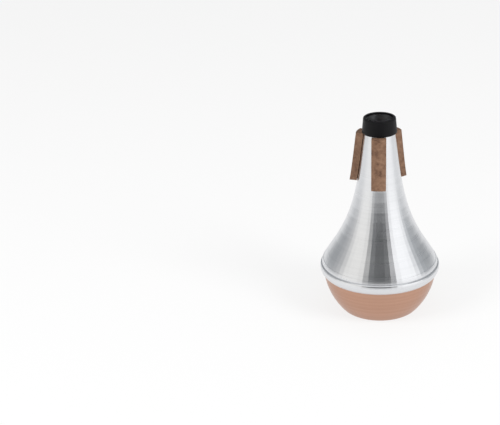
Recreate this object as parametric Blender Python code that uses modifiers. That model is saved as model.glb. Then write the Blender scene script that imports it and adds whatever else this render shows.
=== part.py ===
"""Trumpet straight mute: a spun aluminium shell, a spun copper end cup, a throat collar and three corks.

The mute stands on the flat face of its copper cup, with its axis on +Z and its origin at the middle
of that face. The shell is open at the neck and closed by the cup, whose flange is held in the hem
that is rolled at the shell's wide end. Outlines are lists of (radius, height) in metres, and each
round piece is one such outline turned about the axis.
"""

import math

import bpy

MM = 0.001

# Copper end cup
BASE_RADIUS = 28.3 * MM
BASE_EDGE_ROUND = 0.8 * MM
CUP_HEIGHT = 28.5 * MM
CUP_MOUTH_RADIUS = 41.75 * MM
CUP_SIDE_BULGE = 2.5 * MM
CUP_WALL = 0.7 * MM
CUP_RIM_FLARE = 0.4 * MM
FLANGE_REACH = 1.0 * MM

# Rolled hem that joins shell and cup
HEM_RADIUS = 44.5 * MM
HEM_LOWER_HEIGHT = 5.4 * MM
HEM_UPPER_HEIGHT = 2.1 * MM
HEM_SHOULDER_DROP = 0.9 * MM
GROOVE_DEPTH = 0.5 * MM
GROOVE_WIDTH = 0.8 * MM
SEAM_GAP = 0.3 * MM

# Shoulder band above the hem
BAND_HEIGHT = 3.0 * MM
BAND_LOWER_RADIUS = 43.2 * MM
BAND_UPPER_RADIUS = 42.25 * MM
BAND_CROWN = 0.12 * MM
BAND_STEP = 0.2 * MM

# Aluminium shell above the band
SHELL_WALL = 0.8 * MM
SHOULDER_ANGLE = math.radians(27.5)
SHOULDER_RADIUS = 82.0 * MM
FLARE_ANGLE = math.radians(34.0)
FLARE_LENGTH = 99.1 * MM
FLARE_LOWER_PULL = 36.4 * MM
FLARE_UPPER_PULL = 37.4 * MM
NECK_RADIUS = 11.4 * MM
NECK_ANGLE = math.radians(7.2)
NECK_END_ROUND = 0.25 * MM

# Collar pressed over the neck
COLLAR_HEIGHT = 11.5 * MM
COLLAR_WALL = 1.05 * MM
COLLAR_TAPER = math.radians(4.5)
COLLAR_LIP_HEIGHT = 1.3 * MM
COLLAR_EDGE_ROUND = 1.0 * MM
COLLAR_FOOT_ROUND = 0.3 * MM
COLLAR_GAP = 0.3 * MM

# Cork strips glued round the neck
CORK_BEARINGS = {
    "cork_strip_front": math.radians(-2.0),
    "cork_strip_left": math.radians(-107.0),
    "cork_strip_right": math.radians(129.0),
}
CORK_WIDTH = 10.5 * MM
CORK_THICKNESS = 5.3 * MM
CORK_LENGTH = 37.0 * MM
CORK_TO_COLLAR = 0.5 * MM
CORK_GLUE_GAP = 0.3 * MM
CORK_EDGE_ROUND = 0.4 * MM

# Facets
ROUND_STEPS = 64
COLLAR_STEPS = 48
CORK_RING_STEPS = 72
FLARE_POINTS = 12
SHOULDER_POINTS = 3
SIDE_POINTS = 8
HEM_POINTS = 6
ROUND_POINTS = 3
CORK_POINTS = 6
SHARP_ANGLE = math.radians(32.0)
MERGE_DISTANCE = 0.00001

# Heights that follow from the sizes above
HEM_MIDDLE = CUP_HEIGHT + HEM_LOWER_HEIGHT
GROOVE_HEIGHT = HEM_MIDDLE + HEM_UPPER_HEIGHT
BAND_BOTTOM = GROOVE_HEIGHT + GROOVE_WIDTH
BAND_TOP = BAND_BOTTOM + BAND_HEIGHT
COLLAR_BOTTOM = BAND_TOP + FLARE_LENGTH
COLLAR_TOP = COLLAR_BOTTOM + COLLAR_HEIGHT
NECK_TOP = COLLAR_TOP - COLLAR_LIP_HEIGHT - COLLAR_GAP


def bowed_arc(start, end, bulge, count):
    """Points of a circular arc from start to end whose middle stands out by bulge, to the right."""
    chord = math.dist(start, end)
    along = ((end[0] - start[0]) / chord, (end[1] - start[1]) / chord)
    across = (along[1], -along[0])
    radius = (chord * chord / 4 + bulge * bulge) / (2 * bulge)
    half_angle = math.asin(chord / 2 / radius)
    points = []
    for index in range(count + 1):
        angle = half_angle * (2 * index / count - 1)
        forward = chord / 2 + radius * math.sin(angle)
        out = radius * math.cos(angle) - (radius - bulge)
        points.append((start[0] + along[0] * forward + across[0] * out,
                       start[1] + along[1] * forward + across[1] * out))
    return points


def quarter_round(centre, radius_x, radius_z, first, last, count):
    """Points of an ellipse about centre, from the angle first to the angle last, in degrees."""
    points = []
    for index in range(count + 1):
        angle = math.radians(first + (last - first) * index / count)
        points.append((centre[0] + radius_x * math.cos(angle), centre[1] + radius_z * math.sin(angle)))
    return points


def bezier(start, pull_start, pull_end, end, count):
    """Points of a cubic curve from start to end."""
    points = []
    for index in range(count + 1):
        t = index / count
        weights = ((1 - t) ** 3, 3 * t * (1 - t) ** 2, 3 * t * t * (1 - t), t ** 3)
        controls = (start, pull_start, pull_end, end)
        points.append(tuple(sum(w * c[axis] for w, c in zip(weights, controls)) for axis in (0, 1)))
    return points


def moved_sideways(points, distance):
    """The same curve moved by distance to the left of its run, which is the inner side of one that climbs."""
    moved = []
    for index, (radius, height) in enumerate(points):
        before = points[max(index - 1, 0)]
        after = points[min(index + 1, len(points) - 1)]
        run = math.dist(before, after)
        moved.append((radius - distance * (after[1] - before[1]) / run,
                      height + distance * (after[0] - before[0]) / run))
    return moved


def neck_radius_at(height):
    """Outer radius of the neck at a height inside the collar."""
    return NECK_RADIUS - math.tan(COLLAR_TAPER) * (height - COLLAR_BOTTOM)


def shell_wall_curve():
    """Outer face of the shell from the top of the band to the collar, climbing."""
    foot = (BAND_UPPER_RADIUS - BAND_STEP, BAND_TOP)
    points = []
    for index in range(SHOULDER_POINTS + 1):
        angle = SHOULDER_ANGLE + (FLARE_ANGLE - SHOULDER_ANGLE) * index / SHOULDER_POINTS
        points.append((foot[0] - SHOULDER_RADIUS * (math.cos(SHOULDER_ANGLE) - math.cos(angle)),
                       foot[1] + SHOULDER_RADIUS * (math.sin(angle) - math.sin(SHOULDER_ANGLE))))
    start = points.pop()
    end = (NECK_RADIUS, COLLAR_BOTTOM)
    lower = (start[0] - FLARE_LOWER_PULL * math.sin(FLARE_ANGLE),
             start[1] + FLARE_LOWER_PULL * math.cos(FLARE_ANGLE))
    upper = (end[0] + FLARE_UPPER_PULL * math.sin(NECK_ANGLE),
             end[1] - FLARE_UPPER_PULL * math.cos(NECK_ANGLE))
    return points + bezier(start, lower, upper, end, FLARE_POINTS)


def cup_outer_side():
    """Outer face of the cup from its base edge to the flange, climbing."""
    edge = (BASE_RADIUS, 0.0)
    side = bowed_arc(edge, (CUP_MOUTH_RADIUS, CUP_HEIGHT), CUP_SIDE_BULGE, SIDE_POINTS)
    rise = math.dist(side[0], side[1])
    share = BASE_EDGE_ROUND / rise
    on_side = tuple(a + (b - a) * share for a, b in zip(side[0], side[1]))
    on_base = (BASE_RADIUS - BASE_EDGE_ROUND, 0.0)
    middle = tuple((2 * e + a + b) / 4 for e, a, b in zip(edge, on_side, on_base))
    rim = (CUP_MOUTH_RADIUS + CUP_RIM_FLARE, flange_underside())
    return [on_base, middle, on_side] + side[1:] + [rim]


def flange_underside():
    """Height of the cup's flange, which sits close under the roof of the hem."""
    return hem_roof() - SEAM_GAP - CUP_WALL


def hem_roof():
    """Height of the hollow inside the hem, one wall below the groove."""
    return GROOVE_HEIGHT - SHELL_WALL


def cup_outline():
    """Section of the end cup: up its inner side, over the flange and down its outer side."""
    outer = cup_outer_side()
    flange_top = flange_underside() + CUP_WALL
    inner = moved_sideways(outer[2:], CUP_WALL)
    inner[0] = (inner[0][0], CUP_WALL)
    inner[-1] = (inner[-1][0], flange_top)
    tip = outer[-1][0] + FLANGE_REACH
    flange = [(tip, flange_top), (tip, flange_top - CUP_WALL)]
    return [(0.0, CUP_WALL)] + inner + flange + outer[::-1] + [(0.0, 0.0)]


def hem_outer_face():
    """Outer face of the hem and the band, from the lip on the cup up to the top of the band."""
    lip_radius = CUP_MOUTH_RADIUS + SEAM_GAP
    reach = HEM_RADIUS - lip_radius
    turn = (HEM_LOWER_HEIGHT ** 2 + reach ** 2) / (2 * reach)
    sweep = math.degrees(math.asin(min(HEM_LOWER_HEIGHT / turn, 1.0)))
    centre = (HEM_RADIUS - turn, HEM_MIDDLE)
    lower = quarter_round(centre, turn, turn, -sweep, 0.0, HEM_POINTS)
    centre = (HEM_RADIUS - HEM_SHOULDER_DROP, HEM_MIDDLE)
    upper = quarter_round(centre, HEM_SHOULDER_DROP, HEM_UPPER_HEIGHT, 0.0, 90.0, ROUND_POINTS)
    groove_floor = (BAND_LOWER_RADIUS - GROOVE_DEPTH, GROOVE_HEIGHT + GROOVE_WIDTH / 2)
    band = bowed_arc((BAND_LOWER_RADIUS, BAND_BOTTOM), (BAND_UPPER_RADIUS, BAND_TOP), BAND_CROWN, ROUND_POINTS)
    return lower + upper[1:] + [groove_floor] + band


def hem_inner_face():
    """Inner face of the hem, from the lip up round the flange's room to the wall above it."""
    lip_radius = CUP_MOUTH_RADIUS + SEAM_GAP
    reach = HEM_RADIUS - lip_radius
    turn = (HEM_LOWER_HEIGHT ** 2 + reach ** 2) / (2 * reach) - SHELL_WALL
    sweep = math.degrees(math.asin(min(HEM_LOWER_HEIGHT / turn, 1.0)))
    centre = (HEM_RADIUS - SHELL_WALL - turn, HEM_MIDDLE)
    bowl = quarter_round(centre, turn, turn, -sweep, 0.0, HEM_POINTS)
    bowl = [point for point in bowl if point[0] > lip_radius]
    lip_back = (lip_radius, bowl[0][1] - (bowl[0][0] - lip_radius) / 2)
    room_top = (HEM_RADIUS - SHELL_WALL, hem_roof() - SHELL_WALL / 2)
    roof_outside = (HEM_RADIUS - 1.5 * SHELL_WALL, hem_roof())
    wall_radius = BAND_LOWER_RADIUS - GROOVE_DEPTH - SHELL_WALL
    roof_inside = (wall_radius, hem_roof())
    above = (BAND_LOWER_RADIUS - GROOVE_DEPTH - SHELL_WALL, BAND_BOTTOM)
    return [lip_back] + bowl + [room_top, roof_outside, roof_inside, above]


def shell_outline():
    """Section of the shell: down its outer side from the neck to the lip, and back up its inner side."""
    wall = shell_wall_curve()
    neck_top_radius = neck_radius_at(NECK_TOP)
    neck = [(neck_radius_at(NECK_TOP - NECK_END_ROUND), NECK_TOP - NECK_END_ROUND),
            (neck_top_radius - NECK_END_ROUND, NECK_TOP)]
    outer = hem_outer_face() + wall + neck
    inner_wall = moved_sideways(wall, SHELL_WALL)
    inner_wall = [point for point in inner_wall if point[1] > BAND_BOTTOM]
    bore_top = (neck_top_radius - SHELL_WALL, NECK_TOP)
    inner = hem_inner_face() + inner_wall + [bore_top]
    return outer[::-1] + inner


def collar_outline():
    """Section of the collar: down its outer side and back up its bore, under the lip."""
    slope = math.tan(COLLAR_TAPER)
    outer_foot = NECK_RADIUS + COLLAR_GAP + COLLAR_WALL
    outer_top = outer_foot - slope * COLLAR_HEIGHT
    bore_foot = NECK_RADIUS + COLLAR_GAP
    lip_bore = neck_radius_at(NECK_TOP) - SHELL_WALL
    ledge = COLLAR_TOP - COLLAR_LIP_HEIGHT
    lip_round = min(COLLAR_EDGE_ROUND, (outer_top - lip_bore) / 2) * 0.6
    edge = quarter_round((outer_top - COLLAR_EDGE_ROUND, COLLAR_TOP - COLLAR_EDGE_ROUND),
                         COLLAR_EDGE_ROUND, COLLAR_EDGE_ROUND, 90.0, 0.0, ROUND_POINTS)
    foot = [(outer_foot, COLLAR_BOTTOM + COLLAR_FOOT_ROUND), (outer_foot - COLLAR_FOOT_ROUND, COLLAR_BOTTOM)]
    bore = [(bore_foot, COLLAR_BOTTOM), (bore_foot - slope * (ledge - COLLAR_BOTTOM), ledge)]
    lip = [(lip_bore, ledge)]
    inner_edge = quarter_round((lip_bore + lip_round, COLLAR_TOP - lip_round),
                               lip_round, lip_round, 180.0, 90.0, ROUND_POINTS)
    return edge + foot + bore + lip + inner_edge


def cork_outline():
    """Section of the ring that the corks are cut from: it lies along the neck and the flare."""
    top = COLLAR_BOTTOM - CORK_TO_COLLAR
    bottom = top - CORK_LENGTH
    wall = shell_wall_curve()
    seat = []
    for index in range(CORK_POINTS + 1):
        height = bottom + (top - bottom) * index / CORK_POINTS
        seat.append((radius_on(wall, height) + CORK_GLUE_GAP, height))
    back = [(radius + CORK_THICKNESS, height) for radius, height in seat]
    return back[::-1] + seat


def radius_on(curve, height):
    """Radius of a climbing curve at a height."""
    for below, above in zip(curve, curve[1:]):
        if below[1] <= height <= above[1]:
            share = (height - below[1]) / (above[1] - below[1])
            return below[0] + (above[0] - below[0]) * share
    return curve[-1][0] if height > curve[-1][1] else curve[0][0]


def surface(name, colour, roughness, metallic):
    """A material with the part's colour."""
    material = bpy.data.materials.new(name)
    material.use_nodes = True
    shader = material.node_tree.nodes["Principled BSDF"]
    shader.inputs["Base Color"].default_value = (*colour, 1.0)
    shader.inputs["Roughness"].default_value = roughness
    shader.inputs["Metallic"].default_value = metallic
    return material


def turned(name, outline, closed, steps, collection):
    """A mesh object whose outline is turned once about the Z axis."""
    mesh = bpy.data.meshes.new(name)
    edges = [(index, index + 1) for index in range(len(outline) - 1)]
    if closed:
        edges.append((len(outline) - 1, 0))
    mesh.from_pydata([(radius, 0.0, height) for radius, height in outline], edges, [])
    piece = bpy.data.objects.new(name, mesh)
    collection.objects.link(piece)
    screw = piece.modifiers.new("Turn", "SCREW")
    screw.angle = math.tau
    screw.steps = steps
    screw.render_steps = steps
    screw.use_merge_vertices = True
    screw.merge_threshold = MERGE_DISTANCE
    return piece


def settled(piece, material):
    """Put the modifiers' result into the mesh, shade it smooth with crisp edges and give it its material."""
    graph = bpy.context.evaluated_depsgraph_get()
    mesh = bpy.data.meshes.new_from_object(piece.evaluated_get(graph))
    piece.modifiers.clear()
    outline_mesh = piece.data
    piece.data = mesh
    bpy.data.meshes.remove(outline_mesh)
    mesh.name = piece.name
    mesh.shade_smooth()
    mesh.set_sharp_from_angle(angle=SHARP_ANGLE)
    mesh.materials.clear()
    mesh.materials.append(material)
    return piece


def cork_strip(name, bearing, pieces, cutters):
    """One cork: the part of the cork ring inside a block as wide as the strip, with its edges eased."""
    strip = turned(name, cork_outline(), True, CORK_RING_STEPS, pieces)
    reach = HEM_RADIUS
    bpy.ops.mesh.primitive_cube_add(size=1.0)
    block = bpy.context.object
    block.name = name + "_block"
    for vertex in block.data.vertices:
        vertex.co.x *= CORK_WIDTH
        vertex.co.y = (vertex.co.y - 0.5) * reach
        vertex.co.z = (vertex.co.z + 0.5) * COLLAR_TOP
    block.rotation_euler.z = bearing
    block.hide_render = True
    block.display_type = "WIRE"
    for owner in list(block.users_collection):
        owner.objects.unlink(block)
    cutters.objects.link(block)
    strip.rotation_euler.z = bearing
    cut = strip.modifiers.new("Width", "BOOLEAN")
    cut.operation = "INTERSECT"
    cut.solver = "EXACT"
    cut.object = block
    ease = strip.modifiers.new("Ease", "BEVEL")
    ease.width = CORK_EDGE_ROUND
    ease.segments = 1
    ease.limit_method = "ANGLE"
    ease.angle_limit = math.radians(50.0)
    return strip


def new_collection(name):
    collection = bpy.data.collections.new(name)
    bpy.context.scene.collection.children.link(collection)
    return collection


def build():
    for leftover in list(bpy.data.objects):
        bpy.data.objects.remove(leftover)
    pieces = new_collection("Trumpet straight mute")
    cutters = new_collection("Cutters")

    aluminium = surface("Spun aluminium", (0.78, 0.79, 0.80), 0.28, 1.0)
    copper = surface("Spun copper", (0.72, 0.45, 0.34), 0.32, 1.0)
    rubber = surface("Black collar", (0.012, 0.012, 0.014), 0.45, 0.0)
    cork = surface("Cork", (0.30, 0.17, 0.10), 0.85, 0.0)

    settled(turned("body_shell", shell_outline(), True, ROUND_STEPS, pieces), aluminium)
    settled(turned("end_cup", cup_outline(), False, ROUND_STEPS, pieces), copper)
    settled(turned("throat_collar", collar_outline(), True, COLLAR_STEPS, pieces), rubber)
    for name, bearing in CORK_BEARINGS.items():
        settled(cork_strip(name, bearing, pieces, cutters), cork)


build()
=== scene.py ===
"""Studio scene of a trumpet straight mute: spun aluminium, spun copper, a black collar and cork."""

import math

import bpy
from mathutils import Matrix, Vector

# Photograph's frame, in pixels
FRAME_WIDTH = 500
FRAME_HEIGHT = 425

# Camera, aimed at a point on the mute's axis that shows at AIM_PIXEL
AIM_HEIGHT = 0.070
CAMERA_DISTANCE = 1.0
CAMERA_ELEVATION = math.radians(23.777)
FOCAL_PIXELS = 1341.6
AIM_PIXEL = (379.5, 219.28)
SENSOR_WIDTH = 36.0
CLIP_START = 0.01

# Studio background
WHITE = (1.0, 1.0, 1.0)
WORLD_DIFFUSE_LEVEL = 0.55
FLOOR_SIZE = 6.0
FLOOR_DROP = 0.0003
FLOOR_COLOUR = (0.88, 0.88, 0.88, 1.0)
FLOOR_ROUGHNESS = 0.9
FLOOR_GLOW_SHARE = 0.75

# Wall of soft boxes and dark cards round the set: (bearing from the camera's side, level, tint)
WALL_RADIUS = 1.6
WALL_HEIGHT = 3.4
WALL_FACETS = 96
WARM = (1.0, 0.985, 0.95)
COOL = (0.93, 0.97, 1.0)
CARDS = [
    (-180, 0.40, COOL), (-115, 0.36, COOL), (-92, 0.55, WHITE),
    (-75, 1.0, WARM), (-40, 0.98, WARM),
    (-24, 0.16, COOL), (-6, 0.075, COOL), (18, 0.08, COOL), (28, 0.25, WHITE),
    (40, 1.25, WHITE), (78, 1.25, WHITE),
    (96, 0.50, COOL), (120, 0.36, COOL), (180, 0.40, COOL),
]

# Lamps: (name, bearing from the camera's side, power)
LAMPS = [("lamp_left", -55.0, 9.0), ("lamp_right", 55.0, 12.0)]
LAMP_HEIGHT = 0.9
LAMP_DISTANCE = 1.2
LAMP_SIZE = 0.7

# Spinning grooves: how fast the pattern changes across and along them, per metre
GROOVES_ACROSS = 900.0
GROOVES_ALONG = 12.0
COARSE_GROOVES = 0.22
GROOVE_BUMP = 0.06
GROOVE_DEPTH = 0.00006
BRUSHED_ACROSS = 0.25

# Collar and cork: grains per metre, bump strengths and depths
COLLAR_GRAIN = 900.0
COLLAR_SMEARS = 60.0
COLLAR_GRAIN_BUMP = 0.25
COLLAR_GRAIN_DEPTH = 0.0001
COLLAR_GLOSS = 0.18
CORK_CELLS = 620.0
CORK_MOTTLE = 330.0
CORK_PATCHES = 90.0
CORK_CELL_SHARE = 0.6
CORK_BUMP = 0.6
CORK_PIT_DEPTH = 0.0004
CORK_STRIPS = ("cork_strip_front", "cork_strip_left", "cork_strip_right")

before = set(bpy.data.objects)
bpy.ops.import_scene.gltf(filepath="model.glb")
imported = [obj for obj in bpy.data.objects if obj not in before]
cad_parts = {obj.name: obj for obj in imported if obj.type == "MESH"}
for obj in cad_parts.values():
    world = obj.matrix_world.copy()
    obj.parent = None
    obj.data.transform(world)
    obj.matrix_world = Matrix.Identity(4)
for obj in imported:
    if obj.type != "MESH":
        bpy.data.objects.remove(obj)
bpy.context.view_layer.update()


class Nodes:
    """Short names for making and joining shader nodes."""

    def __init__(self, tree):
        self.tree = tree

    def add(self, kind, **settings):
        node = self.tree.nodes.new(kind)
        for name, value in settings.items():
            setattr(node, name, value)
        return node

    def link(self, output, socket):
        self.tree.links.new(output, socket)

    def math(self, operation, first, second=None):
        node = self.add("ShaderNodeMath", operation=operation)
        for socket, value in zip(node.inputs, (first, second)):
            if value is None:
                continue
            if isinstance(value, (int, float)):
                socket.default_value = value
            else:
                self.link(value, socket)
        return node.outputs[0]

    def noise(self, vector, scale, detail, roughness):
        node = self.add("ShaderNodeTexNoise")
        node.inputs["Scale"].default_value = scale
        node.inputs["Detail"].default_value = detail
        node.inputs["Roughness"].default_value = roughness
        self.link(vector, node.inputs["Vector"])
        return node.outputs["Fac"]

    def ramp(self, factor, stops):
        node = self.add("ShaderNodeValToRGB")
        elements = node.color_ramp.elements
        while len(elements) < len(stops):
            elements.new(0.5)
        for element, (place, colour) in zip(elements, stops):
            element.position = place
            element.color = (*colour, 1.0)
        self.link(factor, node.inputs["Fac"])
        return node.outputs["Color"]

    def spread(self, factor, low, high):
        node = self.add("ShaderNodeMapRange")
        node.inputs["To Min"].default_value = low
        node.inputs["To Max"].default_value = high
        self.link(factor, node.inputs["Value"])
        return node.outputs["Result"]

    def bump(self, height, strength, distance):
        node = self.add("ShaderNodeBump")
        node.inputs["Strength"].default_value = strength
        node.inputs["Distance"].default_value = distance
        self.link(height, node.inputs["Height"])
        return node.outputs["Normal"]


def new_material(name):
    material = bpy.data.materials.new(name)
    material.use_nodes = True
    nodes = Nodes(material.node_tree)
    shader = material.node_tree.nodes["Principled BSDF"]
    return material, nodes, shader


def groove_coordinates(nodes, climb):
    """Coordinates that run fast across the spinning grooves and slowly along them.

    climb is 1 where the surface widens as it climbs and -1 where it narrows.
    """
    place = nodes.add("ShaderNodeTexCoord").outputs["Object"]
    split = nodes.add("ShaderNodeSeparateXYZ")
    nodes.link(place, split.inputs["Vector"])
    x, y, z = split.outputs
    squares = nodes.math("ADD", nodes.math("MULTIPLY", x, x), nodes.math("MULTIPLY", y, y))
    radius = nodes.math("SQRT", squares)
    across = nodes.math("ADD", z, nodes.math("MULTIPLY", radius, climb))
    joined = nodes.add("ShaderNodeCombineXYZ")
    nodes.link(nodes.math("MULTIPLY", x, GROOVES_ALONG), joined.inputs["X"])
    nodes.link(nodes.math("MULTIPLY", y, GROOVES_ALONG), joined.inputs["Y"])
    nodes.link(nodes.math("MULTIPLY", across, GROOVES_ACROSS), joined.inputs["Z"])
    return joined.outputs["Vector"]


def spun_metal(name, colour, dark, roughness, climb, anisotropy):
    """Metal brushed round the axis: fine grooves in the bump, the roughness and the colour."""
    material, nodes, shader = new_material(name)
    grooves = groove_coordinates(nodes, climb)
    fine = nodes.noise(grooves, 1.0, 4.0, 0.6)
    coarse = nodes.noise(grooves, COARSE_GROOVES, 2.0, 0.5)
    mean = nodes.math("MULTIPLY", nodes.math("ADD", fine, coarse), 0.5)
    nodes.link(nodes.ramp(mean, [(0.30, dark), (0.70, colour)]), shader.inputs["Base Color"])
    nodes.link(nodes.spread(fine, roughness - 0.03, roughness + 0.04), shader.inputs["Roughness"])
    nodes.link(nodes.bump(fine, GROOVE_BUMP, GROOVE_DEPTH), shader.inputs["Normal"])
    tangent = nodes.add("ShaderNodeTangent", direction_type="RADIAL", axis="Z")
    nodes.link(tangent.outputs["Tangent"], shader.inputs["Tangent"])
    shader.inputs["Metallic"].default_value = 1.0
    shader.inputs["Anisotropic"].default_value = anisotropy
    shader.inputs["Anisotropic Rotation"].default_value = BRUSHED_ACROSS
    return material


def black_collar():
    """Matte black with a fine grain and faint smears."""
    material, nodes, shader = new_material("collar_black")
    place = nodes.add("ShaderNodeTexCoord").outputs["Object"]
    grain = nodes.noise(place, COLLAR_GRAIN, 3.0, 0.6)
    smears = nodes.noise(place, COLLAR_SMEARS, 3.0, 0.5)
    tones = [(0.3, (0.002, 0.002, 0.0026)), (0.7, (0.005, 0.005, 0.0062))]
    nodes.link(nodes.ramp(smears, tones), shader.inputs["Base Color"])
    nodes.link(nodes.spread(smears, 0.38, 0.58), shader.inputs["Roughness"])
    nodes.link(nodes.bump(grain, COLLAR_GRAIN_BUMP, COLLAR_GRAIN_DEPTH), shader.inputs["Normal"])
    shader.inputs["Specular IOR Level"].default_value = COLLAR_GLOSS
    return material


def pressed_cork():
    """Brown cork with pressed grains, dark specks and small pits."""
    material, nodes, shader = new_material("cork_brown")
    place = nodes.add("ShaderNodeTexCoord").outputs["Object"]
    grains = nodes.add("ShaderNodeTexVoronoi", feature="F1")
    grains.inputs["Scale"].default_value = CORK_CELLS
    nodes.link(place, grains.inputs["Vector"])
    mottle = nodes.noise(place, CORK_MOTTLE, 4.0, 0.65)
    broad = nodes.noise(place, CORK_PATCHES, 2.0, 0.5)
    mixed = nodes.math("ADD", nodes.math("MULTIPLY", mottle, 0.65), nodes.math("MULTIPLY", broad, 0.35))
    tones = [(0.32, (0.085, 0.040, 0.024)), (0.43, (0.170, 0.092, 0.056)),
             (0.58, (0.235, 0.135, 0.084)), (0.72, (0.30, 0.18, 0.115))]
    nodes.link(nodes.ramp(mixed, tones), shader.inputs["Base Color"])
    nodes.link(nodes.spread(mottle, 0.75, 0.95), shader.inputs["Roughness"])
    cells = nodes.math("MULTIPLY", grains.outputs["Distance"], CORK_CELL_SHARE)
    height = nodes.math("ADD", mottle, cells)
    nodes.link(nodes.bump(height, CORK_BUMP, CORK_PIT_DEPTH), shader.inputs["Normal"])
    return material


def dress(name, material):
    """Give a carried-over node its detailed material."""
    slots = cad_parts[name].material_slots
    slots[0].link = "OBJECT"
    slots[0].material = material


def add_camera():
    """A camera turned so that the aim shows at its pixel and the mute's axis stays upright."""
    data = bpy.data.cameras.new("camera")
    data.sensor_width = SENSOR_WIDTH
    data.lens = FOCAL_PIXELS / FRAME_WIDTH * SENSOR_WIDTH
    data.clip_start = CLIP_START
    camera = bpy.data.objects.new("camera", data)
    bpy.context.scene.collection.objects.link(camera)
    bpy.context.scene.camera = camera

    aim = Vector((0.0, 0.0, AIM_HEIGHT))
    away = Vector((0.0, -math.cos(CAMERA_ELEVATION), math.sin(CAMERA_ELEVATION)))
    right = (AIM_PIXEL[0] - FRAME_WIDTH / 2) / FOCAL_PIXELS
    below = (AIM_PIXEL[1] - FRAME_HEIGHT / 2) / FOCAL_PIXELS
    sight_seen = Vector((right, -below, -1.0)).normalized()
    side_seen = Vector((1.0, 0.0, right)).normalized()
    sight = -away
    side = Vector((1.0, 0.0, 0.0))
    seen = Matrix((side_seen, sight_seen, side_seen.cross(sight_seen)))
    real = Matrix((side, sight, side.cross(sight))).transposed()
    turn = (real @ seen).to_4x4()
    camera.matrix_world = Matrix.Translation(aim + away * CAMERA_DISTANCE) @ turn


def shown_as_white(nodes):
    """One for the rays that see a white background: camera, glossy and transmission."""
    path = nodes.add("ShaderNodeLightPath")
    seen = nodes.math("MAXIMUM", path.outputs["Is Camera Ray"], path.outputs["Is Glossy Ray"])
    return nodes.math("MAXIMUM", seen, path.outputs["Is Transmission Ray"])


def add_world():
    """A white world, with less light on the object than a white background would give."""
    world = bpy.data.worlds.new("studio_world")
    bpy.context.scene.world = world
    world.use_nodes = True
    nodes = Nodes(world.node_tree)
    background = world.node_tree.nodes["Background"]
    background.inputs["Color"].default_value = (*WHITE, 1.0)
    level = nodes.spread(shown_as_white(nodes), WORLD_DIFFUSE_LEVEL, 1.0)
    nodes.link(level, background.inputs["Strength"])


def add_floor():
    """A pale floor that glows nearly white and keeps the object's shadow."""
    mesh = bpy.data.meshes.new("floor")
    half = FLOOR_SIZE / 2
    corners = [(-half, -half, 0.0), (half, -half, 0.0), (half, half, 0.0), (-half, half, 0.0)]
    mesh.from_pydata(corners, [], [(0, 1, 2, 3)])
    floor = bpy.data.objects.new("floor", mesh)
    bpy.context.scene.collection.objects.link(floor)
    floor.location.z = -FLOOR_DROP
    material, nodes, shader = new_material("floor_pale")
    shader.inputs["Base Color"].default_value = FLOOR_COLOUR
    shader.inputs["Roughness"].default_value = FLOOR_ROUGHNESS
    glow = nodes.add("ShaderNodeEmission")
    mix = nodes.add("ShaderNodeMixShader")
    share = nodes.math("MULTIPLY", shown_as_white(nodes), FLOOR_GLOW_SHARE)
    nodes.link(share, mix.inputs["Fac"])
    nodes.link(shader.outputs["BSDF"], mix.inputs[1])
    nodes.link(glow.outputs["Emission"], mix.inputs[2])
    output = material.node_tree.nodes["Material Output"]
    nodes.link(mix.outputs["Shader"], output.inputs["Surface"])
    mesh.materials.append(material)


def wall_mesh():
    """An open upright cylinder round the set."""
    mesh = bpy.data.meshes.new("studio_wall")
    points = []
    faces = []
    for index in range(WALL_FACETS):
        angle = math.tau * index / WALL_FACETS
        for height in (0.0, WALL_HEIGHT):
            points.append((WALL_RADIUS * math.sin(angle), -WALL_RADIUS * math.cos(angle), height))
        after = (index + 1) % WALL_FACETS
        faces.append((2 * index, 2 * after, 2 * after + 1, 2 * index + 1))
    mesh.from_pydata(points, [], faces)
    return mesh


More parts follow.
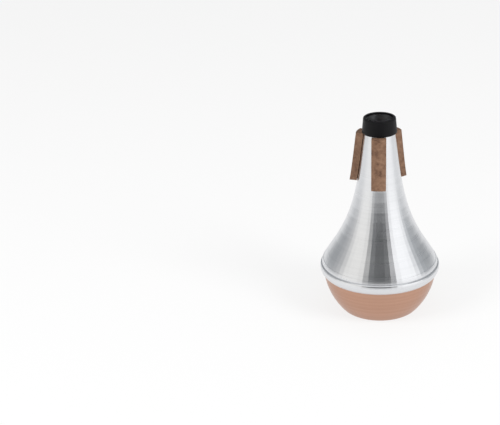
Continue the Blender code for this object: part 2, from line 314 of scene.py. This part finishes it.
def wall_material():
    """Light whose level and tint follow the bearing, as soft boxes and dark cards would give."""
    material = bpy.data.materials.new("studio_wall_cards")
    material.use_nodes = True
    tree = material.node_tree
    tree.nodes.remove(tree.nodes["Principled BSDF"])
    nodes = Nodes(tree)
    place = nodes.add("ShaderNodeTexCoord").outputs["Object"]
    split = nodes.add("ShaderNodeSeparateXYZ")
    nodes.link(place, split.inputs["Vector"])
    x, y, _ = split.outputs
    bearing = nodes.math("ARCTAN2", x, nodes.math("MULTIPLY", y, -1.0))
    share = nodes.math("ADD", nodes.math("DIVIDE", bearing, math.tau), 0.5)
    stops = [(degrees / 360.0 + 0.5, tuple(level * channel for channel in tint))
             for degrees, level, tint in CARDS]
    colour = nodes.ramp(share, stops)
    glow = nodes.add("ShaderNodeEmission")
    nodes.link(colour, glow.inputs["Color"])
    nodes.link(glow.outputs["Emission"], tree.nodes["Material Output"].inputs["Surface"])
    return material


def add_studio_wall():
    """Soft boxes and dark cards round the set, seen only in the metal's reflections."""
    wall = bpy.data.objects.new("studio_wall", wall_mesh())
    bpy.context.scene.collection.objects.link(wall)
    wall.visible_camera = False
    wall.visible_diffuse = False
    wall.visible_shadow = False
    wall.visible_transmission = False
    wall.data.materials.append(wall_material())


def add_lamp(name, bearing, power):
    """A soft area lamp on a bearing from the camera's side, aimed at the mute."""
    data = bpy.data.lights.new(name, "AREA")
    data.shape = "DISK"
    data.size = LAMP_SIZE
    data.energy = power
    lamp = bpy.data.objects.new(name, data)
    bpy.context.scene.collection.objects.link(lamp)
    angle = math.radians(bearing)
    lamp.location = (LAMP_DISTANCE * math.sin(angle), -LAMP_DISTANCE * math.cos(angle), LAMP_HEIGHT)
    aim = Vector((0.0, 0.0, AIM_HEIGHT))
    lamp.rotation_euler = (lamp.location - aim).to_track_quat("Z", "Y").to_euler()
    lamp.visible_glossy = False


aluminium = spun_metal("aluminium_spun", (0.82, 0.83, 0.85), (0.74, 0.75, 0.77),
                       roughness=0.28, climb=-1.0, anisotropy=0.80)
copper = spun_metal("copper_spun", (0.58, 0.345, 0.25), (0.48, 0.275, 0.195),
                    roughness=0.30, climb=1.0, anisotropy=0.75)
rubber = black_collar()
cork = pressed_cork()
dress("body_shell", aluminium)
dress("end_cup", copper)
dress("throat_collar", rubber)
for cork_name in CORK_STRIPS:
    dress(cork_name, cork)

add_camera()
add_world()
add_floor()
add_studio_wall()
for lamp_name, lamp_bearing, lamp_power in LAMPS:
    add_lamp(lamp_name, lamp_bearing, lamp_power)

bpy.context.scene.view_settings.view_transform = "Standard"
